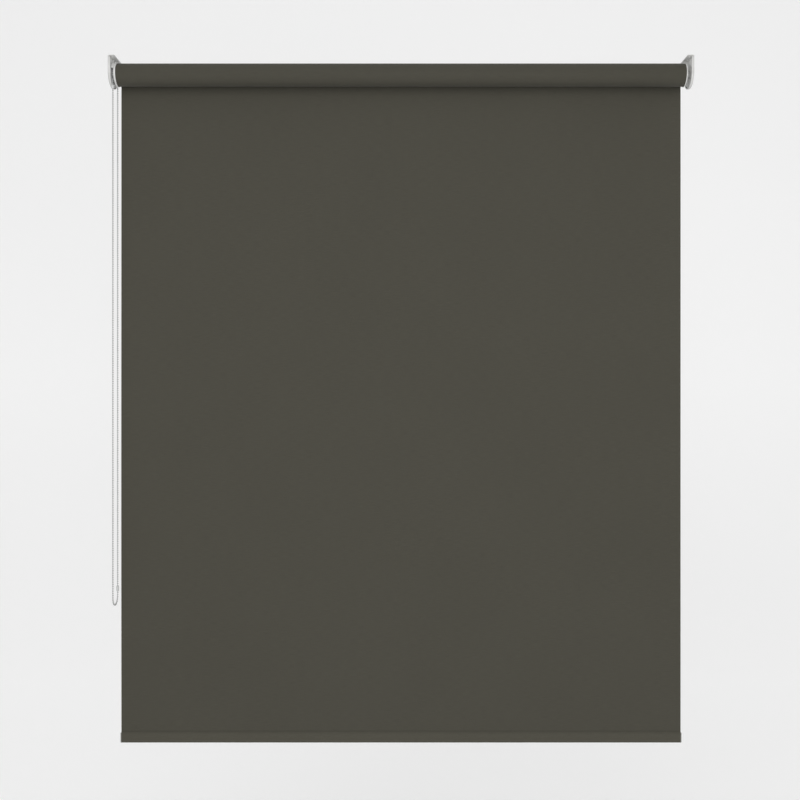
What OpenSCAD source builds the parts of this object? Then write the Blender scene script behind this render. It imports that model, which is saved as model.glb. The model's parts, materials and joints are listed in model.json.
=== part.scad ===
// Roller blind with a bead-chain clutch, fabric lowered behind its roll.
// Origin: centre of the four ceiling fixing holes. +X right from the room, +Y to the window, +Z up.
// "Depth" below means the distance inwards, along X, from the outer face of a bracket cover.

/* [Overall] */
// Width over the two bracket covers
overall_w = 1100; // [400:1:2400]
// Drop from the ceiling plane to the bottom of the hem
drop = 1305; // [1060:1:2400]
// Depth of the roller's axis below the ceiling plane
axis_drop = 30; // [29:0.5:45]

/* [Roller] */
// Outer diameter of the roller tube
tube_d = 38; // [32:0.5:46]
// Wall of the roller tube
tube_wall = 1.2; // [1:0.1:1.8]
// How far the tube's keys stand into its bore
key_depth = 1.8; // [1.2:0.1:2.4]
// Width of each key
key_w = 2; // [1.5:0.1:3]
// Width of the groove's mouth, which the fabric enters by
groove_mouth = 2.2; // [1.4:0.1:3]
// Width of the groove behind its mouth
groove_w = 4; // [3.6:0.1:5]
// Height of the groove behind its mouth
groove_h = 1.2; // [0.8:0.1:1.4]
// How far the tube's ends sit inside the fabric's edges
tube_recess = 0.5; // [0.3:0.1:2]

/* [Fabric] */
// Thickness of the blind's fabric
fabric_t = 0.5; // [0.3:0.05:0.8]
// Layers wound on the tube when the blind is down
rest_wraps = 3.2; // [2:0.1:8]
// Height of the hem from its weld to its lower edge
hem_h = 23; // [20:0.5:40]
// Height of the weld that closes the hem's pocket
weld_h = 1.8; // [1:0.1:3]

/* [Bottom bar] */
// Thickness of the bottom bar
bar_t = 4.2; // [3:0.1:6]
// Height of the bottom bar
bar_h = 18; // [14:0.1:24]
// Wall of the bottom bar
bar_wall = 0.8; // [0.6:0.1:1]
// How far an end cap stands past the fabric's edge
cap_t = 2; // [1.5:0.1:3]
// Length of the tongue that holds an end cap in the bar
cap_tongue = 16; // [8:1:30]

/* [Brackets] */
// Thickness of the bracket's sheet steel
plate_t = 1.5; // [1.2:0.1:2]
// Outer radius of the bracket's bend
bend_r = 2.5; // [2.2:0.1:3]
// Width of the ceiling flange across X
flange_w = 11.5; // [11:0.5:14]
// Length of the ceiling flange along Y
flange_d = 56; // [54:1:70]
// Depth of the ceiling fixing holes
hole_depth = 8; // [7:0.5:9]
// Spacing of a flange's two fixing holes along Y
hole_spacing = 40; // [20:1:42]
// Diameter of the ceiling fixing holes
hole_d = 4.5; // [3.5:0.1:6]
// Outer wall of a bracket cover
cover_wall = 1.2; // [1:0.1:1.6]
// Overall thickness of a bracket cover across X
cover_depth = 4.8; // [4:0.1:5.5]
// Bevel round the cover's outer face
edge_bevel = 1; // [0.4:0.1:1]
// Thickness of the cover's rim
rim_wall = 1.2; // [1:0.1:1.6]
// How far the cover stands past the clutch guard
cover_margin = 4; // [3:0.1:7]

/* [Clutch] */
// Pockets around the chain sprocket
pockets = 24; // [20:1:25]
// Diameter of the chain's beads
bead_d = 3.2; // [2.8:0.1:3.4]
// Spacing of the beads along the chain
bead_pitch = 4.25; // [4:0.05:4.5]
// Diameter of the thread that carries the beads
thread_d = 1; // [0.8:0.1:1.2]
// Width of the sprocket
sprocket_w = 3.8; // [3.6:0.1:5]
// Back wall of the clutch housing
base_wall = 2; // [1.2:0.1:2.4]
// Thickness of the hood over the sprocket
hood_wall = 3.2; // [1.6:0.1:3.6]
// Height above the axis at which the hood ends, front and back
hood_edge = 7.5; // [4:0.5:10]
// Thickness of the chain guard
guard_wall = 2.1; // [1.2:0.1:2.4]
// How far the chain guard stands past the wound fabric
guard_stand = 1.4; // [1:0.1:3]
// Diameter of the fixed core that the springs grip
core_d = 14; // [12:0.5:15]
// Length of the drive hub inside the tube
hub_len = 46; // [42:1:60]
// Number of wrap springs on the core
spring_count = 3; // [3:1:3]
// Turns of each wrap spring
spring_turns = 10; // [6:1:11]
// Section of the spring wire, along the axis and across it
wire_w = 1; // [0.8:0.1:1.2]

/* [Idle end] */
// Diameter of the idle pin
pin_d = 6; // [5:0.1:7]
// Travel of the idle pin
pin_travel = 4.4; // [4:0.1:6]
// Height of the bracket's bush above its plate
bush_h = 2.2; // [1.8:0.1:3]
// Thickness of the idle plug's end flange
idle_flange_t = 1.5; // [1:0.1:1.8]
// Length of the idle plug inside the tube
plug_len = 46; // [42:1:60]
// Wire diameter of the pin's spring
pin_wire_d = 0.8; // [0.5:0.1:1]
// Turns of the pin's spring
pin_turns = 9; // [6:1:12]

/* [Clearances] */
// Gap between pieces that are fixed to each other
seat_gap = 0.1; // [0.05:0.05:0.2]
// Gap between pieces that move past each other
run_gap = 0.3; // [0.25:0.05:0.5]
// Radial gap of a shaft that turns in a bore
bore_gap = 0.05; // [0.02:0.01:0.1]

/* [Hidden] */
$fn = 64;
eps = 0.01;

// Radii about the roller's axis
tube_r = tube_d / 2;
bore_r = tube_r - tube_wall;
key_r = bore_r - key_depth;
wound_r = tube_r + rest_wraps * fabric_t;
pitch_r = pockets * bead_pitch / (2 * PI);
core_r = core_d / 2;
hood_r = pitch_r + bead_d / 2 + 2;
guard_r = max(wound_r + guard_stand, hood_r + 2);
cover_r = guard_r + cover_margin;
plate_r = cover_r - rim_wall - run_gap;
spring_r = core_r + bore_gap + 1.2;
finger_r = spring_r + 2.8;
dog_gap = 0.3;
hub_shell = 2.9;
hub_r = bore_r - run_gap;
key_slot_r = key_r - 0.2;
lip_r = tube_r - 0.4;

// Depths of the stack at the control end
plate_u = cover_wall + seat_gap;
plate_end = plate_u + plate_t;
base_u = plate_end + seat_gap;
base_end = base_u + base_wall;
sprocket_u = base_end + run_gap;
sprocket_end = sprocket_u + sprocket_w;
chain_u = (sprocket_u + sprocket_end) / 2;
guard_u = sprocket_end + run_gap;
guard_end = guard_u + guard_wall;
lip_u = guard_end + run_gap;
fabric_u = lip_u + 1.3;
tube_u = fabric_u + tube_recess;
hub_end = tube_u + hub_len;
hub_wall = 3.8;
washer_t = 1;
core_end = hub_end + 0.3;
spring_len = spring_turns * wire_w;
spring_u = tube_u + 1;
spring_step = (hub_end - hub_wall - spring_u) / spring_count;

// Depths of the idle end
bush_end = base_u + bush_h;
idle_flange_u = fabric_u - run_gap - idle_flange_t;
pin_tip_u = plate_u + seat_gap + 0.2;
thumb_t = 2;
thumb_u = idle_flange_u - 1 - thumb_t;
thumb_r = pin_d / 2 + 3.8;
shoulder_r = pin_d / 2 + 1.8;
cup_r = thumb_r + 0.4;
cup_end = thumb_u + thumb_t + pin_travel + 0.6;
bearing_end = cup_end + 6;
cavity_r = pin_d / 2 + 2.4;
barrel_r = cavity_r + 2;
barrel_end = bearing_end + 27;
cap_seat = 3;
collar_t = 2;
pin_spring_r = cavity_r - 1.1 - pin_wire_d / 2;

// Heights and planes
axis_z = -axis_drop;
rim_top = -bend_r - seat_gap;
fabric_half = overall_w / 2 - fabric_u;
sheet_y = wound_r + run_gap;
sheet_mid = sheet_y + fabric_t / 2;
hem_top = -drop + hem_h;
bar_gap = 0.05;
pocket_t = bar_t + 2 * (bar_gap + fabric_t);
pocket_h = bar_h + 2 * (bar_gap + fabric_t);
bar_mid_z = -drop + pocket_h / 2;

// Route of the chain's hanging loop, front strand to middle of the loop, as [y, z]
chain_top = -40.3;
chain_front = [
    [-16.2, chain_top], [-16.2, -200], [-16.2, -400], [-16.2, -600], [-16.2, -800],
    [-16.2, -960], [-16.2, -1010], [-16.2, -1020], [-15.9, -1023.2], [-14.9, -1026.4],
    [-13.2, -1029.4], [-10.9, -1032], [-8.1, -1034], [-5, -1035.4], [0, -1036.2]
];
chain_x = -overall_w / 2 + chain_u;
chain_y = -chain_front[0][0];
chain_step = 30;
chain_sides = 10;
stop_z = axis_z - cover_r - 1;
joiner_z = -1008;

// ---- shared shapes ----

// Extrudes an outline, drawn in Y and Z, between two depths of the control end
module slab(u0, u1) {
    translate([-overall_w / 2 + u0, 0, 0])
        rotate([90, 0, 90])
            linear_extrude(u1 - u0) children();
}

// Puts a shape that is turned about Z on the roller's axis, with its foot at a depth
module on_axis(u) {
    translate([-overall_w / 2 + u, 0, axis_z]) rotate([0, 90, 0]) children();
}

// Part of a ring about the axis, between two depths, radii and angles. Angle 0 is down
module arc_bar(u0, u1, r0, r1, a0, a1) {
    on_axis(u0)
        rotate([0, 0, a0])
            rotate_extrude(angle = a1 - a0) translate([r0, 0]) square([r1 - r0, u1 - u0]);
}

// Whole ring about the axis; a bore of 0 leaves a disc
module ring(u0, u1, r0, r1) {
    slab(u0, u1)
        translate([0, axis_z])
            difference() {
                circle(r1);
                if (r0 > 0) circle(r0);
            }
}

// U-shaped outline of a bracket, round about the axis and square at its top
module bracket_outline(r, top) {
    translate([0, axis_z]) circle(r);
    translate([-r, axis_z]) square([2 * r, top - axis_z]);
}

// Flat oval, standing upright
module oval(w, h) {
    square([w, h - w], center = true);
    for (s = [-1, 1]) translate([0, s * (h - w) / 2]) circle(w / 2);
}

// Extrudes an outline along the whole fabric's width, less an inset at each end
module along_fabric(inset) {
    slab(fabric_u + inset, overall_w - fabric_u - inset) children();
}

// Joins rings of points into one closed tube
module swept(rings) {
    n = len(rings[0]);
    m = len(rings);
    polyhedron(
        points = [for (g = rings) each g],
        faces = concat(
            [[for (k = [0:n - 1]) k]],
            [for (i = [0:m - 2], k = [0:n - 1])
                [i * n + k, (i + 1) * n + k, (i + 1) * n + (k + 1) % n, i * n + (k + 1) % n]],
            [[for (k = [n - 1:-1:0]) (m - 1) * n + k]]
        )
    );
}

function circle_points(c, e1, e2, r, n) =
    [for (k = [0:n - 1]) c + r * (cos(360 * k / n) * e1 + sin(360 * k / n) * e2)];

// ---- brackets ----

module bracket_steel() {
    module bend() {
        intersection() {
            difference() {
                circle(bend_r);
                circle(bend_r - plate_t);
            }
            translate([-bend_r, 0]) square(bend_r);
        }
    }
    difference() {
        union() {
            slab(plate_u, plate_end)
                intersection() {
                    bracket_outline(plate_r, 0);
                    translate([-cover_r, -3 * cover_r - bend_r]) square([2 * cover_r, 3 * cover_r]);
                }
            translate([-overall_w / 2 + plate_u, flange_d / 2, 0])
                rotate([90, 0, 0])
                    linear_extrude(flange_d) {
                        translate([bend_r, -bend_r]) bend();
                        translate([bend_r, -plate_t]) square([flange_w - bend_r, plate_t]);
                    }
            gusset();
        }
        for (s = [-1, 1])
            translate([-overall_w / 2 + hole_depth, s * hole_spacing / 2, -plate_t - 1])
                cylinder(d = hole_d, h = plate_t + 2);
    }
}

// Web that stiffens the bend, in the room between the flange and the clutch
module gusset() {
    room = axis_drop - plate_t - guard_r;
    leg = 0.6 * room;
    web = 1.6;
    translate([-overall_w / 2 + plate_end - eps, web / 2, -plate_t + eps])
        rotate([90, 0, 0])
            linear_extrude(web) polygon([[0, 0], [leg, 0], [0, -leg]]);
}

boss_r = 6;
tongue_w = 6;
tongue_h = 2.2;
tongue_y = 13;

// The plate's windows, which the clutch housing's tongues enter
module tongues(grow, u0, u1) {
    for (s = [-1, 1])
        slab(u0, u1)
            translate([s * tongue_y, axis_z])
                square([tongue_h + 2 * grow, tongue_w + 2 * grow], center = true);
}

module control_bracket() {
    color("gainsboro")
        difference() {
            bracket_steel();
            ring(plate_u - 1, plate_end + 1, 0, boss_r + seat_gap);
            tongues(seat_gap, plate_u - 1, plate_end + 1);
        }
}

bush_r = 5;

module idle_bracket() {
    color("gainsboro")
        mirror([1, 0, 0])
            difference() {
                bracket_steel();
                ring(plate_u - 1, plate_end + 1, 0, bush_r + seat_gap);
            }
}

// Clip-on shell around a bracket's plate
module bracket_cover() {
    nub_h = 8;
    nub_t = 0.6;
    nub_in = 0.2;
    inner_r = cover_r - edge_bevel;
    on_axis(0) {
        cylinder(r1 = inner_r, r2 = cover_r, h = edge_bevel);
        translate([0, 0, edge_bevel]) cylinder(r = cover_r, h = cover_wall - edge_bevel);
    }
    translate([-overall_w / 2, 0, axis_z])
        linear_extrude(axis_drop)
            polygon([
                [0, -inner_r], [edge_bevel, -cover_r], [cover_wall, -cover_r],
                [cover_wall, cover_r], [edge_bevel, cover_r], [0, inner_r]
            ]);
    slab(cover_wall - eps, cover_depth)
        difference() {
            bracket_outline(cover_r, rim_top);
            bracket_outline(cover_r - rim_wall, 1);
        }
    for (s = [-1, 1])
        slab(plate_end + seat_gap, plate_end + seat_gap + nub_t)
            translate([s * (plate_r - nub_in + rim_wall / 2), axis_z + nub_h])
                square([rim_wall, nub_h], center = true);
}

module control_bracket_cover() {
    color("white") bracket_cover();
}

module idle_bracket_cover() {
    color("white") mirror([1, 0, 0]) bracket_cover();
}

// Plastic bearing pressed into the idle bracket, which the pin enters
module idle_bracket_bush() {
    flange_t = 1;
    color("silver")
        mirror([1, 0, 0])
            difference() {
                union() {
                    ring(plate_u + seat_gap, base_u + eps, 0, bush_r);
                    ring(base_u, base_u + flange_t, 0, bush_r + 1.5);
                    ring(base_u + flange_t - eps, bush_end, 0, bush_r);
                }
                ring(plate_u, bush_end + 1, 0, pin_d / 2 + bore_gap);
            }
}

// ---- clutch, fixed pieces ----

screw_bore_r = 1.6;

module clutch_housing() {
    color("white")
        difference() {
            union() {
                ring(base_u, base_end, 0, guard_r);
                ring(plate_u + seat_gap, base_u + eps, 0, boss_r);
                tongues(0, plate_u + seat_gap, base_u + eps);
                ring(base_end - eps, core_end, 0, core_r);
                slab(base_end - eps, guard_u - seat_gap)
                    translate([0, axis_z])
                        intersection() {
                            difference() {
                                circle(hood_r + hood_wall);
                                circle(hood_r);
                            }
                            translate([-cover_r, hood_edge]) square([2 * cover_r, cover_r]);
                        }
            }
            ring(core_end - 20, core_end + 1, 0, screw_bore_r);
        }
}

// Inner cheek that keeps the chain on the sprocket, with a rib that seats in the hood
module chain_guard() {
    rib_r = hood_r - seat_gap;
    color("white") {
        ring(guard_u, guard_end, finger_r + 1.2, guard_r);
        ring(guard_end - eps, fabric_u - run_gap, lip_r + run_gap, guard_r);
        slab(guard_u - 0.8, guard_u + eps)
            translate([0, axis_z])
                intersection() {
                    difference() {
                        circle(rib_r);
                        circle(rib_r - 0.5);
                    }
                    translate([-cover_r, hood_edge]) square([2 * cover_r, cover_r]);
                }
    }
}

module core_washer() {
    color("silver")
        ring(core_end + seat_gap, core_end + seat_gap + washer_t, screw_bore_r + 0.1, core_r + 2.5);
}

module core_screw() {
    head_u = core_end + 2 * seat_gap + washer_t;
    head_h = 2;
    recess = 1.2;
    color("silver")
        difference() {
            union() {
                ring(core_end - 14, head_u + eps, 0, screw_bore_r - 0.05);
                ring(head_u, head_u + head_h, 0, 3.2);
            }
            for (a = [0, 90])
                slab(head_u + head_h - recess, head_u + head_h + 1)
                    translate([0, axis_z]) rotate(a) square([3.6, 0.8], center = true);
        }
}

// ---- clutch, turning pieces ----

finger_a0 = 150;
finger_a1 = 210;
tang_gap = 30;

// Wheel that the chain turns, with a finger that pushes the springs' tangs
module chain_sprocket() {
    rim_r = pitch_r + 0.3;
    groove_half = thread_d / 2 + 0.4;
    groove_r = pitch_r - thread_d / 2 - 0.3;
    bore = core_r + bore_gap;
    sleeve_r = spring_r + dog_gap;
    color("dimgray") {
        difference() {
            union() {
                ring(sprocket_u, chain_u - groove_half, bore, rim_r);
                ring(chain_u - groove_half - eps, chain_u + groove_half + eps, bore, groove_r);
                ring(chain_u + groove_half, sprocket_end, bore, rim_r);
                ring(sprocket_end - eps, tube_u, sleeve_r, finger_r);
                arc_bar(tube_u - eps, hub_end - hub_wall - run_gap, sleeve_r, finger_r,
                        finger_a0, finger_a1);
            }
            for (k = [0:pockets - 1])
                on_axis(chain_u)
                    rotate([0, 0, -90 - k * 360 / pockets])
                        translate([pitch_r, 0, 0]) rotate([0, 90, 0]) sphere(d = bead_d + 2 * seat_gap);
        }
    }
}

// Slots for the tube's groove and keys, cut from a plug that fits the tube
module key_slots(u0, u1) {
    side = 0.25;
    slab(u0, u1)
        translate([0, axis_z]) {
            translate([-groove_w / 2 - 1 - side, key_slot_r])
                square([groove_w + 2 + 2 * side, tube_r]);
            for (a = [120, 240])
                rotate(a)
                    translate([-key_w / 2 - side, key_slot_r]) square([key_w + 2 * side, tube_r]);
        }
}

// Ribs between a plug's inner and outer shells
module plug_ribs(u0, u1, r0, r1) {
    rib_t = 1.4;
    for (k = [0:7])
        slab(u0, u1)
            translate([0, axis_z])
                rotate(22.5 + 45 * k) translate([r0 - eps, -rib_t / 2]) square([r1 - r0 + 2 * eps, rib_t]);
}

// Plug that carries the tube at the control end and takes the clutch's drive
module drive_hub() {
    inner_r = finger_r + dog_gap;
    shell_r = inner_r + 1.7;
    back_u = hub_end - hub_wall;
    color("lightgray")
        difference() {
            union() {
                ring(lip_u, tube_u - seat_gap, inner_r, lip_r);
                ring(tube_u - seat_gap - eps, hub_end, hub_r - hub_shell, hub_r);
                ring(tube_u - seat_gap - eps, hub_end, inner_r, shell_r);
                ring(back_u, hub_end, core_r + bore_gap, hub_r);
                plug_ribs(tube_u - seat_gap, back_u + eps, shell_r, hub_r - hub_shell);
                arc_bar(spring_u - 0.5, back_u + eps, spring_r + dog_gap, inner_r + eps,
                        finger_a1 + tang_gap, finger_a0 + 360 - tang_gap);
            }
            key_slots(tube_u - seat_gap, hub_end + 1);
        }
}

// Spring of flat wire that grips the core until a tang is pushed
module wrap_spring(index) {
    notch = 0.15;
    bevel = 0.1;
    tang_len = finger_r - spring_r - 0.1;
    u0 = spring_u + index * spring_step;
    color("darkgray") {
        on_axis(u0)
            rotate_extrude()
                polygon(concat(
                    [[core_r + bore_gap, 0], [spring_r - notch, 0]],
                    [for (k = [0:spring_turns - 1]) each [
                        [spring_r, (k + bevel) * wire_w],
                        [spring_r, (k + 1 - bevel) * wire_w],
                        [spring_r - notch, (k + 1) * wire_w]
                    ]],
                    [[core_r + bore_gap, spring_len]]
                ));
        for (end = [0, 1])
            on_axis(u0 + end * (spring_len - wire_w))
                rotate([0, 0, end == 0 ? finger_a0 - tang_gap / 2 : finger_a1 + tang_gap / 2])
                    translate([spring_r - 0.4, -wire_w / 2, 0])
                        cube([tang_len + 0.4, wire_w, wire_w]);
    }
}

// ---- roller ----

module roller_tube() {
    color("silver")
        along_fabric(tube_recess)
            translate([0, axis_z])
                difference() {
                    union() {
                        difference() {
                            circle(tube_r);
                            circle(bore_r);
                        }
                        intersection() {
                            circle(bore_r + tube_wall / 2);
                            union() {
                                translate([-groove_w / 2 - 1, key_r]) square([groove_w + 2, tube_r]);
                                for (a = [120, 240])
                                    rotate(a) translate([-key_w / 2, key_r]) square([key_w, tube_r]);
                            }
                        }
                    }
                    translate([-groove_w / 2, key_r + 1]) square([groove_w, groove_h]);
                    translate([-groove_mouth / 2, key_r + 1]) square([groove_mouth, tube_r]);
                }
}

// Strip that locks the fabric's edge in the tube's groove
module fabric_spline() {
    color("ivory")
        along_fabric(tube_recess + 1)
            translate([0, axis_z + key_r + 1 + groove_h / 2])
                square([groove_w - 2 * seat_gap, groove_h - 2 * seat_gap], center = true);
}

module fabric_roll() {
    color([0.31, 0.29, 0.26])
        along_fabric(0)
            translate([0, axis_z])
                difference() {
                    circle(wound_r);
                    circle(tube_r + bar_gap);
                }
}

// ---- idle end ----

module idle_plug() {
    color("white")
        mirror([1, 0, 0])
            difference() {
                union() {
                    ring(idle_flange_u, idle_flange_u + idle_flange_t, 0, guard_r);
                    ring(idle_flange_u + idle_flange_t - eps, tube_u - seat_gap, 0, lip_r);
                    ring(tube_u - seat_gap - eps, tube_u + plug_len, hub_r - hub_shell, hub_r);
                    ring(idle_flange_u, barrel_end, 0, barrel_r);
                    plug_ribs(tube_u - seat_gap - eps, barrel_end - 6, barrel_r, hub_r - hub_shell);
                }
                key_slots(tube_u - seat_gap, tube_u + plug_len + 1);
                ring(idle_flange_u - 1, cup_end, 0, cup_r);
                ring(cup_end - 1, bearing_end + 1, 0, pin_d / 2 + bore_gap);
                ring(bearing_end, barrel_end + 1, 0, cavity_r);
            }
}

// Cap that closes the spring's cavity in the idle plug
module spring_cap() {
    color("dimgray")
        mirror([1, 0, 0]) {
            ring(barrel_end - cap_seat, barrel_end + seat_gap + eps, 0, cavity_r - seat_gap);
            ring(barrel_end + seat_gap, barrel_end + seat_gap + 1.5, 0, barrel_r);
        }
}

// Sprung pin with a collar for the thumb and a collar that stops it in the plug
module idle_pin() {
    collar_u = bearing_end + run_gap;
    bevel = 0.6;
    color("lightgray")
        mirror([1, 0, 0]) {
            on_axis(pin_tip_u) cylinder(r1 = pin_d / 2 - bevel, r2 = pin_d / 2, h = bevel);
            ring(pin_tip_u + bevel, collar_u + eps, 0, pin_d / 2);
            ring(bush_end + run_gap, thumb_u + eps, 0, shoulder_r);
            ring(thumb_u, thumb_u + thumb_t, 0, thumb_r);
            ring(collar_u, collar_u + collar_t, 0, cavity_r - run_gap);
            ring(collar_u + collar_t - eps, collar_u + collar_t + 9, 0, pin_spring_r - pin_wire_d - 0.3);
        }
}

module pin_spring() {
    u0 = bearing_end + run_gap + collar_t + pin_wire_d / 2 + seat_gap;
    u1 = barrel_end - cap_seat - pin_wire_d / 2 - seat_gap;
    steps = 14 * pin_turns;
    color("silver")
        mirror([1, 0, 0])
            swept([for (i = [0:steps])
                let (a = 360 * pin_turns * i / steps, radial = [0, cos(a), sin(a)])
                    circle_points(
                        [-overall_w / 2 + u0 + (u1 - u0) * i / steps, 0, axis_z] + pin_spring_r * radial,
                        [1, 0, 0], radial, pin_wire_d / 2, 8)]);
}

// ---- fabric and bottom bar ----

module fabric_drop() {
    color([0.31, 0.29, 0.26])
        along_fabric(0)
            translate([sheet_y, hem_top + run_gap])
                square([fabric_t, axis_z - hem_top - run_gap]);
}

// Oval about the bottom bar whose top narrows to the foot of the hem's weld
module pouch(w, h, neck) {
    shoulder = (h - w) / 2;
    weld_foot = hem_top - weld_h - bar_mid_z;
    oval(w, h);
    polygon([[-w / 2, shoulder], [w / 2, shoulder], [neck, weld_foot], [-neck, weld_foot]]);
}

// Pocket around the bottom bar, closed by the weld above it
module fabric_hem() {
    color([0.31, 0.29, 0.26])
        along_fabric(0)
            translate([sheet_mid, bar_mid_z])
                difference() {
                    union() {
                        pouch(pocket_t, pocket_h, fabric_t);
                        translate([-fabric_t, 0]) square([2 * fabric_t, hem_top - bar_mid_z]);
                    }
                    pouch(bar_t + 2 * bar_gap, bar_h + 2 * bar_gap, bar_gap);
                }
}

module bottom_bar() {
    color("silver")
        along_fabric(0.5)
            translate([sheet_mid, bar_mid_z])
                difference() {
                    oval(bar_t, bar_h);
                    oval(bar_t - 2 * bar_wall, bar_h - 2 * bar_wall);
                }
}

module bar_end_cap() {
    inner_t = bar_t - 2 * bar_wall - 2 * seat_gap;
    inner_h = bar_h - 2 * bar_wall - 2 * seat_gap;
    slab(fabric_u - cap_t, fabric_u - seat_gap) translate([sheet_mid, bar_mid_z]) oval(pocket_t, pocket_h);
    slab(fabric_u - seat_gap - eps, fabric_u + cap_tongue)
        translate([sheet_mid, bar_mid_z]) oval(inner_t, inner_h);
}

module bar_end_cap_left() {
    color("whitesmoke") bar_end_cap();
}

module bar_end_cap_right() {
    color("whitesmoke") mirror([1, 0, 0]) bar_end_cap();
}

// ---- chain ----

// Adds points along a route so that none are further apart than a step
function filled(route, step) = concat(
    [for (i = [0:len(route) - 2])
        let (n = max(1, ceil(norm(route[i + 1] - route[i]) / step)))
            for (k = [0:n - 1]) route[i] + (route[i + 1] - route[i]) * k / n],
    [route[len(route) - 1]]
);

// Direction of a route at one of its points
function heading(route, i) =
    let (d = route[min(i + 1, len(route) - 1)] - route[max(i - 1, 0)]) d / norm(d);

// Hanging loop, as a tube of the beads' diameter
module chain_loop() {
    last = len(chain_front) - 2;
    back = [for (i = [last:-1:0]) [-chain_front[i][0], chain_front[i][1]]];
    route = filled(concat(chain_front, back), chain_step);
    color("whitesmoke")
        swept([for (i = [0:len(route) - 1])
            let (h = heading(route, i))
                circle_points([chain_x, route[i][0], route[i][1]],
                              [1, 0, 0], [0, h[1], -h[0]], bead_d / 2, chain_sides)]);
}

// Beads and thread over the sprocket, down to the tops of the hanging strands
module chain_wrap() {
    last = ceil(pockets / 2);
    foot = axis_z - chain_top - 0.2;
    more = floor((foot - bead_d / 2) / bead_pitch);
    back_drop = (last - pockets / 2) * bead_pitch;
    back_more = floor((foot - back_drop - bead_d / 2) / bead_pitch);
    color("whitesmoke") {
        for (k = [0:last - 1])
            translate([chain_x, -pitch_r * cos(k * 360 / pockets),
                       axis_z + pitch_r * sin(k * 360 / pockets)])
                sphere(d = bead_d);
        on_axis(chain_u)
            rotate([0, 0, 90]) rotate_extrude(angle = 180) translate([pitch_r, 0]) circle(d = thread_d);
        for (s = [-1, 1])
            translate([chain_x, s * pitch_r, axis_z - foot]) cylinder(d = thread_d, h = foot + eps);
        for (k = [1:more]) translate([chain_x, -pitch_r, axis_z - k * bead_pitch]) sphere(d = bead_d);
        for (k = [0:back_more])
            translate([chain_x, pitch_r, axis_z - back_drop - k * bead_pitch]) sphere(d = bead_d);
    }
}

// Barrel-shaped piece clipped around the chain
module chain_clip(length, r) {
    clip_bore = bead_d / 2 + 0.2;
    h = length / 2;
    bevel = 0.5;
    rotate_extrude()
        polygon([
            [clip_bore, -h], [r - bevel, -h], [r, -h + 3 * bevel], [r, h - 3 * bevel],
            [r - bevel, h], [clip_bore, h]
        ]);
}

module chain_stop() {
    color("whitesmoke") translate([chain_x, -chain_y, stop_z]) chain_clip(7, 2.8);
}

module chain_joiner() {
    color("whitesmoke") translate([chain_x, chain_y, joiner_z]) chain_clip(10, 2.7);
}

control_bracket();
control_bracket_cover();
idle_bracket();
idle_bracket_cover();
idle_bracket_bush();
clutch_housing();
chain_guard();
core_washer();
core_screw();
chain_sprocket();
drive_hub();
wrap_spring(0);  // wrap_spring_1
wrap_spring(1);  // wrap_spring_2
wrap_spring(2);  // wrap_spring_3
roller_tube();
fabric_spline();
fabric_roll();
idle_plug();
spring_cap();
idle_pin();
pin_spring();
fabric_drop();
fabric_hem();
bottom_bar();
bar_end_cap_left();
bar_end_cap_right();
chain_loop();
chain_wrap();
chain_stop();
chain_joiner();
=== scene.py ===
"""Looks of the roller blind: cloth, bead chain, rounded mouldings, materials, studio and camera.

Every object is in metres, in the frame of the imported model: the origin is at the centre of the
ceiling fixing holes, +X to the right from the room, +Y to the window and +Z up.
"""
import json
import math

import bmesh
import bpy
import numpy as np
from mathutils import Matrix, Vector


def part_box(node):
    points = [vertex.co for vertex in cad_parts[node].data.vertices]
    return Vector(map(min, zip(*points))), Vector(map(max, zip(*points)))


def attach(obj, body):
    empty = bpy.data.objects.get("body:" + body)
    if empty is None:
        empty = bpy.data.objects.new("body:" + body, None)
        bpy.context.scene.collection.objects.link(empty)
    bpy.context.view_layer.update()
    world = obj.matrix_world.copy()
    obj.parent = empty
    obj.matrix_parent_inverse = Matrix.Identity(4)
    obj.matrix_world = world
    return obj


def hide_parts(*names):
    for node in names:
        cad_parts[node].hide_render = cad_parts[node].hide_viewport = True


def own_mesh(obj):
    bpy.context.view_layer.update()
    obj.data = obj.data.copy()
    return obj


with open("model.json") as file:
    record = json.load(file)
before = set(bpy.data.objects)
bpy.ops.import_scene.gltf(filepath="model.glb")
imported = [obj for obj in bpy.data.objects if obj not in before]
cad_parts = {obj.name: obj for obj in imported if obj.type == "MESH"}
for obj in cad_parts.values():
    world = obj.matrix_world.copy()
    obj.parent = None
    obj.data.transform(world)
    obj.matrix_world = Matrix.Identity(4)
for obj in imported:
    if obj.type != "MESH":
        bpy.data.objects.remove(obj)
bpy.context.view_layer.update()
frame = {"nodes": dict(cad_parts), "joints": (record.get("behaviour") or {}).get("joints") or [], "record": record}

MM = 0.001
NODES = frame["nodes"]
JOINTS = {j["name"]: j for j in frame["joints"]}
AXIS = Vector(JOINTS["roller_spin"]["pos_m"])
BODY_OF = {n: body for body, names in frame["record"]["behaviour"]["bodies"].items() for n in names}
SLOT_OF = {s["node"]: s["material_slot"] for s in frame["record"]["subparts"]}


# ---------------------------------------------------------------- camera and chain route

CAMERA_AT = (-1.9 * MM, -1.9, -0.647)
LENS_MM = 45
SENSOR_MM = 36

BEAD_D = 3.2 * MM
BEAD_PITCH = 4.25 * MM
THREAD_D = 1 * MM
FIRST_BEAD = 2.45 * MM

# Hanging loop of the chain as (y, z) in millimetres, front strand to the middle of the loop
CHAIN_FRONT_MM = [
    (-16.2, -40.3), (-16.2, -200), (-16.2, -400), (-16.2, -600), (-16.2, -800),
    (-16.2, -960), (-16.2, -1010), (-16.2, -1020), (-15.9, -1023.2), (-14.9, -1026.4),
    (-13.2, -1029.4), (-10.9, -1032), (-8.1, -1034), (-5, -1035.4), (0, -1036.2),
]


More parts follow.
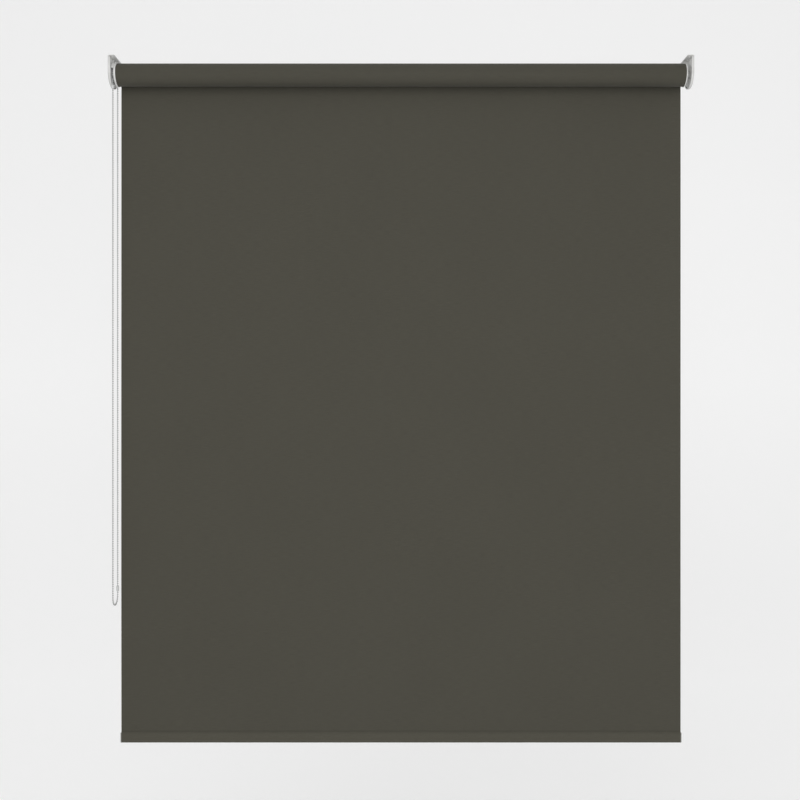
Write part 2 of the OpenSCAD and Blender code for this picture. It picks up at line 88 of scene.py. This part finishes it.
def add_camera():
    data = bpy.data.cameras.new("camera")
    data.lens = LENS_MM
    data.sensor_width = SENSOR_MM
    cam = bpy.data.objects.new("camera", data)
    cam.location = CAMERA_AT
    cam.rotation_euler = (math.radians(90), 0, 0)
    bpy.context.scene.collection.objects.link(cam)
    bpy.context.scene.camera = cam


# ---------------------------------------------------------------- node helpers

class Shader:
    """A material's node tree with short calls for the nodes that the looks below share."""

    def __init__(self, name):
        self.material = bpy.data.materials.new(name)
        self.material.use_nodes = True
        self.tree = self.material.node_tree
        self.bsdf = self.tree.nodes["Principled BSDF"]
        self.place = self.node("ShaderNodeTexCoord").outputs["Object"]

    def node(self, kind, **settings):
        made = self.tree.nodes.new(kind)
        for key, value in settings.items():
            setattr(made, key, value)
        return made

    def put(self, socket, value):
        """Links an output to a socket, or sets the socket to a plain value."""
        if isinstance(value, bpy.types.NodeSocket):
            self.tree.links.new(value, socket)
        else:
            socket.default_value = value

    def math(self, operation, a, b=0.0):
        made = self.node("ShaderNodeMath", operation=operation)
        self.put(made.inputs[0], a)
        self.put(made.inputs[1], b)
        return made.outputs[0]

    def axes(self):
        """The X, Y and Z of the place on the piece."""
        made = self.node("ShaderNodeSeparateXYZ")
        self.put(made.inputs[0], self.place)
        return made.outputs

    def join(self, x, y, z=0.0):
        made = self.node("ShaderNodeCombineXYZ")
        for socket, value in zip(made.inputs, (x, y, z)):
            self.put(socket, value)
        return made.outputs[0]

    def scaled(self, vector, scale):
        made = self.node("ShaderNodeVectorMath", operation="MULTIPLY")
        self.put(made.inputs[0], vector)
        made.inputs[1].default_value = scale
        return made.outputs[0]

    def noise(self, scale, detail=2.0, vector=None):
        made = self.node("ShaderNodeTexNoise")
        self.put(made.inputs["Vector"], self.place if vector is None else vector)
        made.inputs["Scale"].default_value = scale
        made.inputs["Detail"].default_value = detail
        return made.outputs["Fac"]

    def band(self, value, low, high, low_in=0.0, high_in=1.0):
        made = self.node("ShaderNodeMapRange")
        self.put(made.inputs["Value"], value)
        limits = {"From Min": low_in, "From Max": high_in, "To Min": low, "To Max": high}
        for key, number in limits.items():
            made.inputs[key].default_value = number
        return made.outputs["Result"]

    def blend(self, share, dark, light):
        """Colour between two colours."""
        made = self.node("ShaderNodeMix", data_type="RGBA")
        self.put(made.inputs["Factor"], share)
        for key, value in (("A", dark), ("B", light)):
            socket = next(s for s in made.inputs if s.name == key and s.type == "RGBA")
            self.put(socket, value if isinstance(value, bpy.types.NodeSocket) else (*value, 1.0))
        return next(s for s in made.outputs if s.type == "RGBA")

    def bump(self, height, distance, strength=1.0, normal=None):
        made = self.node("ShaderNodeBump")
        self.put(made.inputs["Height"], height)
        made.inputs["Distance"].default_value = distance
        made.inputs["Strength"].default_value = strength
        if normal is not None:
            self.put(made.inputs["Normal"], normal)
        return made.outputs["Normal"]

    def set(self, **sockets):
        """Sets sockets of the Principled shader. Underscores stand for spaces."""
        for key, value in sockets.items():
            name = key.replace("_", " ")
            self.put(self.bsdf.inputs[name], value)
        return self.material


# Middle of a noise's values, where most of them lie
NOISE_MIDDLE = (0.3, 0.7)


def linear(r, g, b):
    """A colour given as it is seen, 0 to 255, in the linear values that the shaders take."""
    seen = (r / 255, g / 255, b / 255)
    return tuple(c / 12.92 if c <= 0.04045 else ((c + 0.055) / 1.055) ** 2.4 for c in seen)


# ---------------------------------------------------------------- materials

FABRIC_DARK = linear(54, 52, 44)
FABRIC_LIGHT = linear(77, 75, 65.5)
# The hem pocket's cloth is painted lighter. This is partly the folded double layer's own tone and partly painted
# light for the light that the pocket's bulge catches.
HEM_PAINTED_LIGHT = 1.15
WELD_SHADE = 0.9

THREAD_PITCH = 0.55 * MM
# Stray of the threads from straight lines, as shares of their pitch
WARP_STRAY = 0.9
WEFT_STRAY = 0.7
STRAY_SCALE = 140
# Slubs are long along the weft and thin across it
SLUB_SCALE = (60, 900)
CLOUD_SCALE = 5
COATING_SCALE = 5200
# Shares of the weave, the slubs and the clouds in the cloth's tone, and the tone's range
TONE_SHARES = (0.45, 0.5, 0.12)
TONE_RANGE = (-0.09, 0.71)
# Shares of the ribs along the threads and of their crossings in the weave's height
RIB_SHARE = 0.2
CROSSING_SHARE = 0.6
THREAD_BUMP = 0.1 * MM
COATING_BUMP = 0.03 * MM


def fabric_material(name, round_the_roll=False, painted_light_factor=1.0, pressed_above=None):
    """Plain weave of flat coated threads. On the roll, the weft runs round the axis.

    Above the height pressed_above the cloth is welded, which leaves it darker.
    """
    s = Shader(name)
    x, y, height = s.axes()
    z = height
    if round_the_roll:
        up = s.math("SUBTRACT", height, AXIS.z)
        z = s.math("MULTIPLY", s.math("ARCTAN2", up, y), ROLL_R)
    plane = s.join(x, z)
    stray = s.noise(STRAY_SCALE, 2, plane)
    x = s.math("ADD", x, s.math("MULTIPLY", stray, WARP_STRAY * THREAD_PITCH))
    z = s.math("ADD", z, s.math("MULTIPLY", stray, WEFT_STRAY * THREAD_PITCH))

    turn = 2 * math.pi / THREAD_PITCH
    warp = s.math("SINE", s.math("MULTIPLY", x, turn))
    weft = s.math("SINE", s.math("MULTIPLY", z, turn))
    over = s.math("MULTIPLY", s.math("SINE", s.math("MULTIPLY", x, turn / 2)),
                  s.math("SINE", s.math("MULTIPLY", z, turn / 2)))
    ribs = s.math("MULTIPLY", s.math("ADD", warp, weft), RIB_SHARE)
    weave = s.math("ADD", ribs, s.math("MULTIPLY", over, CROSSING_SHARE))

    stretched = s.join(s.math("MULTIPLY", x, SLUB_SCALE[0]), s.math("MULTIPLY", z, SLUB_SCALE[1]))
    slubs = s.noise(1.0, 3, stretched)
    clouds = s.noise(CLOUD_SCALE, 3, plane)
    tone = 0.0
    for share, layer in zip(TONE_SHARES, (weave, slubs, clouds)):
        tone = s.math("ADD", s.math("MULTIPLY", layer, share), tone)
    # This factor lightens the cloth's colours: painted light on the hem, partly also the double layer's own tone.
    dark = tuple(c * painted_light_factor for c in FABRIC_DARK)
    light = tuple(c * painted_light_factor for c in FABRIC_LIGHT)
    colour = s.blend(s.band(tone, 0.0, 1.0, *TONE_RANGE), dark, light)
    if pressed_above is not None:
        pressed = s.math("GREATER_THAN", height, pressed_above)
        welded = tuple((a + b) / 2 * WELD_SHADE for a, b in zip(FABRIC_DARK, FABRIC_LIGHT))
        colour = s.blend(pressed, colour, welded)

    threads = s.bump(weave, THREAD_BUMP, 0.7)
    normal = s.bump(s.noise(COATING_SCALE, 2, plane), COATING_BUMP, 0.5, threads)
    return s.set(
        Base_Color=colour, Roughness=s.band(weave, 0.74, 0.9, -1, 1), Normal=normal,
        Sheen_Weight=0.06, Sheen_Roughness=0.5, Specular_IOR_Level=0.3,
    )


FLOW_SCALE = 38
SKIN_SCALE = 1600
SKIN_BUMP = 0.015 * MM
COAT_ROUGHNESS = 0.15


def plastic_material(name, colour, roughness, shade=0.9, coat=0.0):
    """Moulded plastic: faint flow marks in the colour and a fine skin."""
    s = Shader(name)
    flow = s.noise(FLOW_SCALE, 3)
    skin = s.noise(SKIN_SCALE, 2)
    dark = tuple(c * shade for c in colour)
    return s.set(
        Base_Color=s.blend(s.band(flow, 0.0, 1.0, *NOISE_MIDDLE), dark, colour),
        Roughness=s.band(flow, roughness * 0.85, roughness * 1.2, *NOISE_MIDDLE),
        Normal=s.bump(skin, SKIN_BUMP, 0.4),
        Coat_Weight=coat, Coat_Roughness=COAT_ROUGHNESS,
    )


PEEL_SCALE = 900
PATCH_SCALE = 60
PAINT_SHADE = 0.93
PEEL_BUMP = 0.05 * MM


def painted_material(name, colour):
    """Powder coat on sheet steel, with its orange-peel skin."""
    s = Shader(name)
    peel = s.noise(PEEL_SCALE, 2)
    patch = s.noise(PATCH_SCALE, 2)
    dark = tuple(c * PAINT_SHADE for c in colour)
    return s.set(
        Base_Color=s.blend(patch, dark, colour),
        Roughness=s.band(patch, 0.36, 0.5, *NOISE_MIDDLE),
        Normal=s.bump(peel, PEEL_BUMP, 0.5),
    )


METAL_SHADE = 0.82
LINE_BUMP = 0.02 * MM


def metal_material(name, colour, roughness, stretch):
    """Metal with fine lines. stretch is how the lines' noise is scaled along each axis."""
    s = Shader(name)
    lines = s.noise(1.0, 4, s.scaled(s.place, stretch))
    dark = tuple(c * METAL_SHADE for c in colour)
    return s.set(
        Base_Color=s.blend(lines, dark, colour),
        Metallic=1.0,
        Roughness=s.band(lines, roughness * 0.8, roughness * 1.25, *NOISE_MIDDLE),
        Normal=s.bump(lines, LINE_BUMP, 0.4),
    )


def stage_material(name, colour, glow):
    """A matte studio surface that gives a little light of its own, as a lit paper sweep does."""
    s = Shader(name)
    return s.set(
        Base_Color=(*colour, 1.0), Roughness=0.9,
        Emission_Color=(1, 1, 1, 1), Emission_Strength=glow,
    )


# ---------------------------------------------------------------- mesh helpers

def add_piece(name, points, faces, body, material):
    mesh = bpy.data.meshes.new(name)
    mesh.from_pydata([tuple(p) for p in points], [], [tuple(f) for f in faces])
    mesh.validate()
    mesh.materials.append(material)
    for polygon in mesh.polygons:
        polygon.use_smooth = True
    piece = bpy.data.objects.new(name, mesh)
    bpy.context.scene.collection.objects.link(piece)
    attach(piece, body)
    return piece


def outward(points, faces):
    """The faces, turned over where the closed mesh's volume comes out negative."""
    p = np.asarray(points)
    total = 0.0
    for f in faces:
        for k in range(1, len(f) - 1):
            total += np.dot(p[f[0]], np.cross(p[f[k]], p[f[k + 1]]))
    return faces if total > 0 else [tuple(reversed(f)) for f in faces]


def cloth_shell(mid, thickness):
    """Points and faces of a closed cloth of some thickness about a grid of mid-surface points."""
    across = np.gradient(mid, axis=0)
    along = np.gradient(mid, axis=1)
    normal = np.cross(across, along)
    normal /= np.linalg.norm(normal, axis=2, keepdims=True)
    ni, nj = mid.shape[:2]
    points = np.concatenate([
        (mid + normal * thickness / 2).reshape(-1, 3),
        (mid - normal * thickness / 2).reshape(-1, 3),
    ])
    back = ni * nj

    def at(i, j):
        return i * nj + j

    faces = []
    for i in range(ni - 1):
        for j in range(nj - 1):
            quad = [at(i, j), at(i + 1, j), at(i + 1, j + 1), at(i, j + 1)]
            faces.append(tuple(quad))
            faces.append(tuple(back + k for k in reversed(quad)))
    border = [at(i, 0) for i in range(ni)] + [at(ni - 1, j) for j in range(1, nj)]
    border += [at(i, nj - 1) for i in range(ni - 2, -1, -1)]
    border += [at(0, j) for j in range(nj - 2, 0, -1)]
    for a, b in zip(border, border[1:] + border[:1]):
        faces.append((b, a, back + a, back + b))
    return points, outward(points, faces)


SHARP_DEG = 35
MERGE_DISTANCE = 0.001 * MM
FLAT_DEG = 0.5


def sharp_edges(piece, degrees=SHARP_DEG):
    piece.data.set_sharp_from_angle(angle=math.radians(degrees))


def rounded_copy(node, width):
    """A copy of a CAD node with its sharp edges rounded, which stands for that node."""
    name = node + "_moulded"
    slot = SLOT_OF[node]
    mesh = NODES[node].data.copy()
    mesh.name = name
    bm = bmesh.new()
    bm.from_mesh(mesh)
    bmesh.ops.remove_doubles(bm, verts=bm.verts, dist=MERGE_DISTANCE)
    bmesh.ops.dissolve_limit(bm, angle_limit=math.radians(FLAT_DEG), verts=bm.verts, edges=bm.edges)
    edges = [
        e for e in bm.edges
        if len(e.link_faces) == 2 and e.calc_face_angle() > math.radians(SHARP_DEG)
    ]
    bmesh.ops.bevel(bm, geom=edges, offset=width, segments=2, profile=0.5, affect="EDGES",
                    clamp_overlap=True)
    bm.to_mesh(mesh)
    bm.free()
    mesh.materials.clear()
    mesh.materials.append(LOOKS[slot])
    for polygon in mesh.polygons:
        polygon.use_smooth = True
        polygon.material_index = 0
    piece = bpy.data.objects.new(name, mesh)
    bpy.context.scene.collection.objects.link(piece)
    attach(piece, BODY_OF[node])
    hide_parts(node)
    sharp_edges(piece)


# ---------------------------------------------------------------- cloth

DROP_LOW, DROP_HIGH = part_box("fabric_drop")
HEM_LOW, HEM_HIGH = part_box("fabric_hem")
TUBE_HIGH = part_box("roller_tube")[1]
FABRIC_T = DROP_HIGH.y - DROP_LOW.y
SHEET_Y = (DROP_HIGH.y + DROP_LOW.y) / 2
ROLL_R = SHEET_Y
HALF_W = DROP_HIGH.x
HEM_TOP = HEM_HIGH.z
WELD_HEIGHT = 1.8 * MM
WELD_FOOT = HEM_TOP - WELD_HEIGHT

# Long waves of the hanging cloth: height in millimetres, waves along X and Z, and phase
WAVES = ((0.55, 5.1, 1.7, 0.6), (0.35, 11.3, -2.9, 2.1))
CURL_MM = 1.5
CURL_WIDTH = 22 * MM
EDGE_STRIP = 50 * MM
SHEET_ROWS = 130


def sheet_offset(x, z):
    """How far the cloth stands off its flat plane: long faint waves and lifted edges."""
    down = (AXIS.z - z) / (AXIS.z - HEM_TOP)
    hold = np.sin(np.pi * np.clip(down, 0, 1)) ** 0.6
    waves = sum(height * np.sin(a * x + b * z + phase) for height, a, b, phase in WAVES)
    edge = np.exp(-(HALF_W - np.abs(x)) / CURL_WIDTH)
    curl = -CURL_MM * edge * (0.6 + 0.4 * np.sin(3.3 * z + np.sign(x)))
    return (waves + curl) * hold * MM


def hanging_fabric(material):
    columns = np.concatenate([
        -HALF_W + np.linspace(0, EDGE_STRIP, 9)[:-1],
        np.linspace(-HALF_W + EDGE_STRIP, HALF_W - EDGE_STRIP, 60),
        HALF_W - np.linspace(EDGE_STRIP, 0, 9)[1:],
    ])
    rows = np.linspace(AXIS.z, HEM_TOP, SHEET_ROWS)
    x, z = np.meshgrid(columns, rows, indexing="ij")
    mid = np.stack([x, SHEET_Y + sheet_offset(x, z), z], axis=2)
    points, faces = cloth_shell(mid, FABRIC_T)
    piece = add_piece("hanging_fabric", points, faces, "fixed_frame", material)
    sharp_edges(piece)
    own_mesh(piece)
    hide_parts("fabric_drop")


WRAP_STEPS = 72
WRAP_COLUMNS = 21
WANDER = 0.25 * MM
WOUND_SHARP_DEG = 50
# Thickness of the wound and the folded cloth as shares of FABRIC_T, so that layers stay apart
WOUND_SHARE = 0.94
FOLDED_SHARE = 0.9


def wound_fabric(material):
    """The fabric on the tube as a true spiral, whose outer end runs into the hanging cloth."""
    tube_r = TUBE_HIGH.z - AXIS.z
    turns = (SHEET_Y - FABRIC_T / 2 - tube_r) / FABRIC_T
    count = int(turns * WRAP_STEPS)
    angle = np.arange(count + 1) * 2 * math.pi / WRAP_STEPS
    radius = SHEET_Y - FABRIC_T * angle / (2 * math.pi)
    columns = np.linspace(-1, 1, WRAP_COLUMNS)
    wander = WANDER * np.sin(angle * 0.37 + 0.4)
    x = columns[:, None] * HALF_W + wander[None, :]
    y = np.broadcast_to(radius * np.cos(angle), x.shape)
    z = np.broadcast_to(AXIS.z + radius * np.sin(angle), x.shape)
    points, faces = cloth_shell(np.stack([x, y, z], axis=2), FABRIC_T * WOUND_SHARE)
    piece = add_piece("wound_fabric", points, faces, "roller", material)
    sharp_edges(piece, WOUND_SHARP_DEG)
    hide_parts("fabric_roll")


HEM_COLUMNS = 121
# Ripples of the pocket along X: height, waves and phase
RIPPLES = ((0.06 * MM, 61, 1.3), (0.05 * MM, 143, 0))
# Height below the weld over which the ripples grow to their full size
RIPPLE_GROWTH = 6 * MM
FINE_SHARP_DEG = 60


def hem_path():
    """Mid-line of the pocket's cloth as (y, z): down before the bar, under it and up behind."""
    bar_low, bar_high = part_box("bottom_bar")
    half_t = (HEM_HIGH.y - HEM_LOW.y) / 2 - FABRIC_T / 2
    bend_top = bar_high.z - (bar_high.y - bar_low.y) / 2
    bend_foot = HEM_LOW.z + FABRIC_T / 2 + half_t
    share = np.linspace(0, 1, 11)[1:]
    slope_y = half_t * np.sin(math.pi / 2 * share ** 0.9)
    slope_z = WELD_FOOT + (bend_top - WELD_FOOT) * share
    front = [(0, HEM_TOP), (0, WELD_FOOT)] + list(zip(-slope_y, slope_z))
    down = [(-half_t, z) for z in np.linspace(bend_top, bend_foot, 7)[1:]]
    under = [
        (-half_t * math.cos(a), bend_foot - half_t * math.sin(a))
        for a in np.linspace(0, math.pi, 15)[1:]
    ]
    up = [(half_t, z) for z in np.linspace(bend_foot, bend_top, 7)[1:]]
    back = list(zip(np.maximum(slope_y, FABRIC_T), slope_z))[-2::-1]
    return np.array(front + down + under + up + back + [(FABRIC_T, HEM_TOP - 0.3 * MM)])


def hem_pocket(material):
    path = hem_path()
    columns = np.linspace(-HALF_W, HALF_W, HEM_COLUMNS)
    x = np.broadcast_to(columns[:, None], (len(columns), len(path))).copy()
    ripple = sum(height * np.sin(columns * waves + phase) for height, waves, phase in RIPPLES)
    slack = np.clip((HEM_TOP - path[:, 1]) / RIPPLE_GROWTH, 0, 1)
    y = SHEET_Y + path[None, :, 0] + ripple[:, None] * slack[None, :] * np.sign(path[None, :, 0])
    z = np.broadcast_to(path[None, :, 1], x.shape)
    points, faces = cloth_shell(np.stack([x, y, z], axis=2), FABRIC_T * FOLDED_SHARE)
    piece = add_piece("hem_pocket", points, faces, "hem_bar", material)
    sharp_edges(piece, FINE_SHARP_DEG)
    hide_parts("fabric_hem")


# ---------------------------------------------------------------- bead chain

def chain_route():
    """Points of the hanging loop in the row frame."""
    x = (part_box("chain_loop")[0].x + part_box("chain_loop")[1].x) / 2
    back = [(-y, z) for y, z in reversed(CHAIN_FRONT_MM[:-1])]
    return np.array([(x, y * MM, z * MM) for y, z in [*CHAIN_FRONT_MM, *back]])


def along(route, step, margin=0.0):
    """Points evenly along a route, about a step apart, and the direction at each."""
    lengths = np.concatenate([[0], np.cumsum(np.linalg.norm(np.diff(route, axis=0), axis=1))])
    count = round((lengths[-1] - 2 * margin) / step)
    marks = np.linspace(margin, lengths[-1] - margin, count + 1)
    points = np.stack([np.interp(marks, lengths, route[:, k]) for k in range(3)], axis=1)
    heading = np.gradient(points, axis=0)
    return points, heading / np.linalg.norm(heading, axis=1, keepdims=True)


BEAD_SEGMENTS = 12
BEAD_RINGS = 7
POLE_SHARE = 0.47
THREAD_SIDES = 8


def bead_points(centre, heading):
    """A bead: a ball whose poles, where the thread enters, are a little flattened."""
    side = np.array([1.0, 0.0, 0.0])
    other = np.cross(heading, side)
    pole = heading * BEAD_D * POLE_SHARE
    points = [centre - pole]
    for i in range(1, BEAD_RINGS):
        polar = math.pi * i / BEAD_RINGS
        out = BEAD_D / 2 * math.sin(polar)
        for k in range(BEAD_SEGMENTS):
            a = 2 * math.pi * k / BEAD_SEGMENTS
            points.append(
                centre - pole * math.cos(polar) + out * (math.cos(a) * side + math.sin(a) * other)
            )
    points.append(centre + pole)
    return points


def bead_faces(first):
    """The faces of a bead whose first point has this number."""
    faces = []
    starts = [first + 1 + i * BEAD_SEGMENTS for i in range(BEAD_RINGS - 1)]
    last = starts[-1] + BEAD_SEGMENTS
    for k in range(BEAD_SEGMENTS):
        n = (k + 1) % BEAD_SEGMENTS
        faces.append((first, starts[0] + n, starts[0] + k))
        for a, b in zip(starts, starts[1:]):
            faces.append((a + k, a + n, b + n, b + k))
        faces.append((starts[-1] + k, starts[-1] + n, last))
    return faces


def tube(line, ways, sideways, radius, sides, first=0):
    """Points and faces of a closed round tube along a line. Its points count from first."""
    points, faces = [], []
    for centre, way, side in zip(line, ways, sideways):
        other = np.cross(way, side)
        for k in range(sides):
            a = 2 * math.pi * k / sides
            points.append(centre + radius * (math.cos(a) * side + math.sin(a) * other))
    for i in range(len(line) - 1):
        a, b = first + i * sides, first + (i + 1) * sides
        for k in range(sides):
            n = (k + 1) % sides
            faces.append((a + k, a + n, b + n, b + k))
    faces.append(tuple(first + k for k in reversed(range(sides))))
    faces.append(tuple(first + (len(line) - 1) * sides + k for k in range(sides)))
    return points, faces


def hanging_chain(material):
    route = chain_route()
    points, faces = [], []
    for centre, heading in zip(*along(route, BEAD_PITCH, FIRST_BEAD)):
        faces += bead_faces(len(points))
        points += bead_points(centre, heading)
    line, ways = along(route, BEAD_PITCH)
    sideways = np.tile([1.0, 0.0, 0.0], (len(line), 1))
    thread_points, thread_faces = tube(
        line, ways, sideways, THREAD_D / 2, THREAD_SIDES, len(points)
    )
    points += thread_points
    faces += thread_faces
    piece = add_piece("bead_chain", points, faces, "fixed_frame", material)
    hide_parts("chain_loop")


PIN_TURNS = 9
PIN_WIRE_D = 0.8 * MM
PIN_WIRE_SIDES = 10
# Radius of the drawn wire as a share of PIN_WIRE_D, so that the closed turns stay apart
PIN_WIRE_SHARE = 0.48
STEPS_PER_TURN = 28


def pin_coil(material):
    """The idle pin's spring, closed at each end, drawn at one length; it moves with the pin."""
    low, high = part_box("pin_spring")
    radius = high.y - PIN_WIRE_D / 2
    count = PIN_TURNS * STEPS_PER_TURN
    share = np.arange(count + 1) / count
    angle = 2 * math.pi * PIN_TURNS * share
    closed = 1 / PIN_TURNS
    open_share = np.clip((share - closed) / (1 - 2 * closed), 0, 1)
    flat = PIN_WIRE_D / (high.x - low.x - PIN_WIRE_D)
    rise = flat * np.minimum(share / closed, 1) + (1 - 2 * flat) * open_share
    rise += flat * np.clip((share - 1 + closed) / closed, 0, 1)
    radial = np.stack([0 * angle, np.cos(angle), np.sin(angle)], axis=1)
    line = radial * radius
    line[:, 0] = low.x + PIN_WIRE_D / 2 + rise * (high.x - low.x - PIN_WIRE_D)
    line[:, 2] += AXIS.z
    ways = np.gradient(line, axis=0)
    ways /= np.linalg.norm(ways, axis=1, keepdims=True)
    points, faces = tube(line, ways, radial, PIN_WIRE_D * PIN_WIRE_SHARE, PIN_WIRE_SIDES)
    piece = add_piece("pin_coil", points, outward(points, faces), "pin", material)
    sharp_edges(piece, FINE_SHARP_DEG)
    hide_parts("pin_spring")
    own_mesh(piece)


# ---------------------------------------------------------------- studio

LIGHT_SPREAD_DEG = 110
# Place, place that it faces, size and power in watts of each light
LIGHTS = {
    "key": ((-0.7, -2.8, 0.5), (0, 0, -0.3), (2.6, 1.8), 9.5),
    "fill": ((0.5, -2.8, -0.9), (0, 0, -0.6), (2.2, 1.2), 8.7),
}
WORLD_STRENGTH = 0.62

STAGE_COLOUR = (0.8, 0.8, 0.8)
STAGE_GLOW = 0.26
# The stage is a floor that bends up into a backdrop
FLOOR_Z = -1.75
FLOOR_FRONT = -8.0
BACKDROP_Y = 3.2
BACKDROP_TOP = 4.0
BEND_R = 1.2
STAGE_HALF = 8.0


def add_area_light(name, at, towards, size, power):
    data = bpy.data.lights.new(name, "AREA")
    data.shape = "RECTANGLE"
    data.size, data.size_y = size
    data.energy = power
    data.spread = math.radians(LIGHT_SPREAD_DEG)
    light = bpy.data.objects.new(name, data)
    light.visible_camera = False
    light.location = at
    light.rotation_euler = (Vector(towards) - Vector(at)).to_track_quat("-Z", "Y").to_euler()
    bpy.context.scene.collection.objects.link(light)


def add_stage():
    profile = [(FLOOR_FRONT, FLOOR_Z)]
    for a in np.linspace(0, math.pi / 2, 17):
        y = BACKDROP_Y - BEND_R + BEND_R * math.sin(a)
        profile.append((y, FLOOR_Z + BEND_R - BEND_R * math.cos(a)))
    profile.append((BACKDROP_Y, BACKDROP_TOP))
    points = [(x, y, z) for x in (-STAGE_HALF, STAGE_HALF) for y, z in profile]
    n = len(profile)
    faces = [(i, i + 1, n + i + 1, n + i) for i in range(n - 1)]
    mesh = bpy.data.meshes.new("studio_floor")
    mesh.from_pydata(points, [], faces)
    mesh.materials.append(stage_material("pale_studio", STAGE_COLOUR, STAGE_GLOW))
    for polygon in mesh.polygons:
        polygon.use_smooth = True
    floor = bpy.data.objects.new("studio_floor", mesh)
    bpy.context.scene.collection.objects.link(floor)


def add_world():
    world = bpy.data.worlds.new("studio")
    world.use_nodes = True
    background = world.node_tree.nodes["Background"]
    background.inputs["Color"].default_value = (1.0, 1.0, 1.0, 1.0)
    background.inputs["Strength"].default_value = WORLD_STRENGTH
    bpy.context.scene.world = world
    bpy.context.scene.view_settings.view_transform = "Standard"


# ---------------------------------------------------------------- assembly

add_camera()

WHITE = linear(212, 212, 210)
ALUMINIUM = linear(205, 207, 210)
# Lines drawn along X
DRAWN = (3, 1500, 1500)
PALE_GREY = linear(176, 177, 176)
SOFT_GREY = linear(196, 196, 194)
DARK_GREY = linear(62, 62, 61)

LOOKS = {
    "bracket_steel": painted_material("bracket_steel", linear(214, 214, 212)),
    # The covers' white is a little darker than the clutch's white as painted shade, standing in for the shade the
    # covers sat in.
    "cover_plastic": plastic_material("cover_plastic", linear(203, 203, 201), 0.28, coat=0.3),
    "clutch_plastic": plastic_material("clutch_plastic", WHITE, 0.26, coat=0.3),
    "grey_plastic": plastic_material("grey_plastic", SOFT_GREY, 0.4),
    "dark_plastic": plastic_material("dark_plastic", DARK_GREY, 0.42, shade=0.8),
    "pin_plastic": plastic_material("pin_plastic", linear(215, 215, 212), 0.3),
    "plated_steel": metal_material("plated_steel", linear(190, 192, 195), 0.3, (900, 60, 60)),
    "spring_steel": metal_material("spring_steel", linear(150, 150, 154), 0.3, (60, 700, 700)),
    "tube_aluminium": metal_material("tube_aluminium", ALUMINIUM, 0.32, DRAWN),
    "bar_aluminium": metal_material("bar_aluminium", ALUMINIUM, 0.32, DRAWN),
    "cap_plastic": plastic_material("cap_plastic", linear(196, 197, 195), 0.35),
    "chain_plastic": plastic_material("chain_plastic", PALE_GREY, 0.3, shade=0.86),
    "clip_plastic": plastic_material("clip_plastic", linear(200, 201, 200), 0.3),
}

FLAT_CLOTH = fabric_material("blind_fabric")
ROUND_CLOTH = fabric_material("wound_blind_fabric", round_the_roll=True)
HEM_CLOTH = fabric_material("folded_blind_fabric", painted_light_factor=HEM_PAINTED_LIGHT, pressed_above=WELD_FOOT)

hanging_chain(LOOKS["chain_plastic"])
hanging_fabric(FLAT_CLOTH)
wound_fabric(ROUND_CLOTH)
hem_pocket(HEM_CLOTH)
pin_coil(LOOKS["spring_steel"])

# Edge radius in millimetres of each moulded or pressed piece
ROUNDED = {
    "control_bracket": 0.25, "control_bracket_cover": 0.35, "idle_bracket": 0.25,
    "idle_bracket_cover": 0.35, "idle_bracket_bush": 0.2, "clutch_housing": 0.25,
    "chain_guard": 0.3, "idle_plug": 0.25, "idle_pin": 0.25, "bar_end_cap_left": 0.4,
    "bar_end_cap_right": 0.4, "drive_hub": 0.15, "chain_stop": 0.2, "chain_joiner": 0.2,
}
for node, radius in ROUNDED.items():
    rounded_copy(node, radius * MM)

for node, piece in NODES.items():
    piece.data.materials.clear()
    piece.data.materials.append(LOOKS.get(SLOT_OF[node], FLAT_CLOTH))

add_stage()
add_world()
for light, settings in LIGHTS.items():
    add_area_light(light, *settings)
